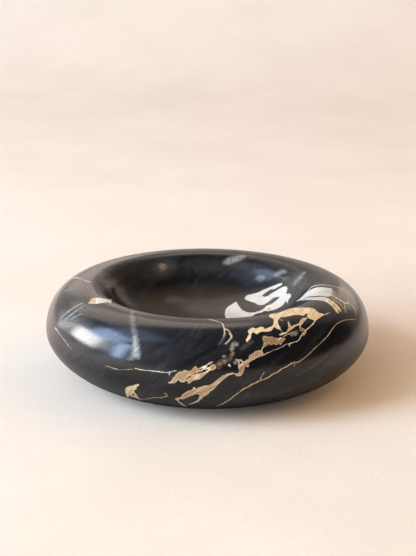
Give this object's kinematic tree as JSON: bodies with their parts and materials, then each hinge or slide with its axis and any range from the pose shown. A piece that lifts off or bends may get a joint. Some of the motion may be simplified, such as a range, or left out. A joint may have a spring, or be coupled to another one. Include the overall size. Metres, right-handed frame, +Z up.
{
  "type": "marble ashtray",
  "caption": "Round table ashtray: a thick ring-shaped bowl turned from veined black marble, with a dished well and felt feet bonded into seats in its flat underside.",
  "frame": {"origin": "on the turning axis of the bowl, in the plane of the table that its felt feet stand on", "axes": "+Z up along the turning axis, out of the well; the picture looks along +Y, with +X to its right"},
  "size_m": [0.18, 0.18, 0.054],
  "materials": {
    "marble": "polished",
    "felt": "matte",
    "adhesive": "satin"
  },
  "bodies": {
    "root": {"marble_bowl": "marble", "felt_foot_1": "felt", "felt_foot_2": "felt", "felt_foot_3": "felt", "felt_foot_4": "felt", "adhesive_film_1": "adhesive", "adhesive_film_2": "adhesive", "adhesive_film_3": "adhesive", "adhesive_film_4": "adhesive"}
  },
  "joints": []
}
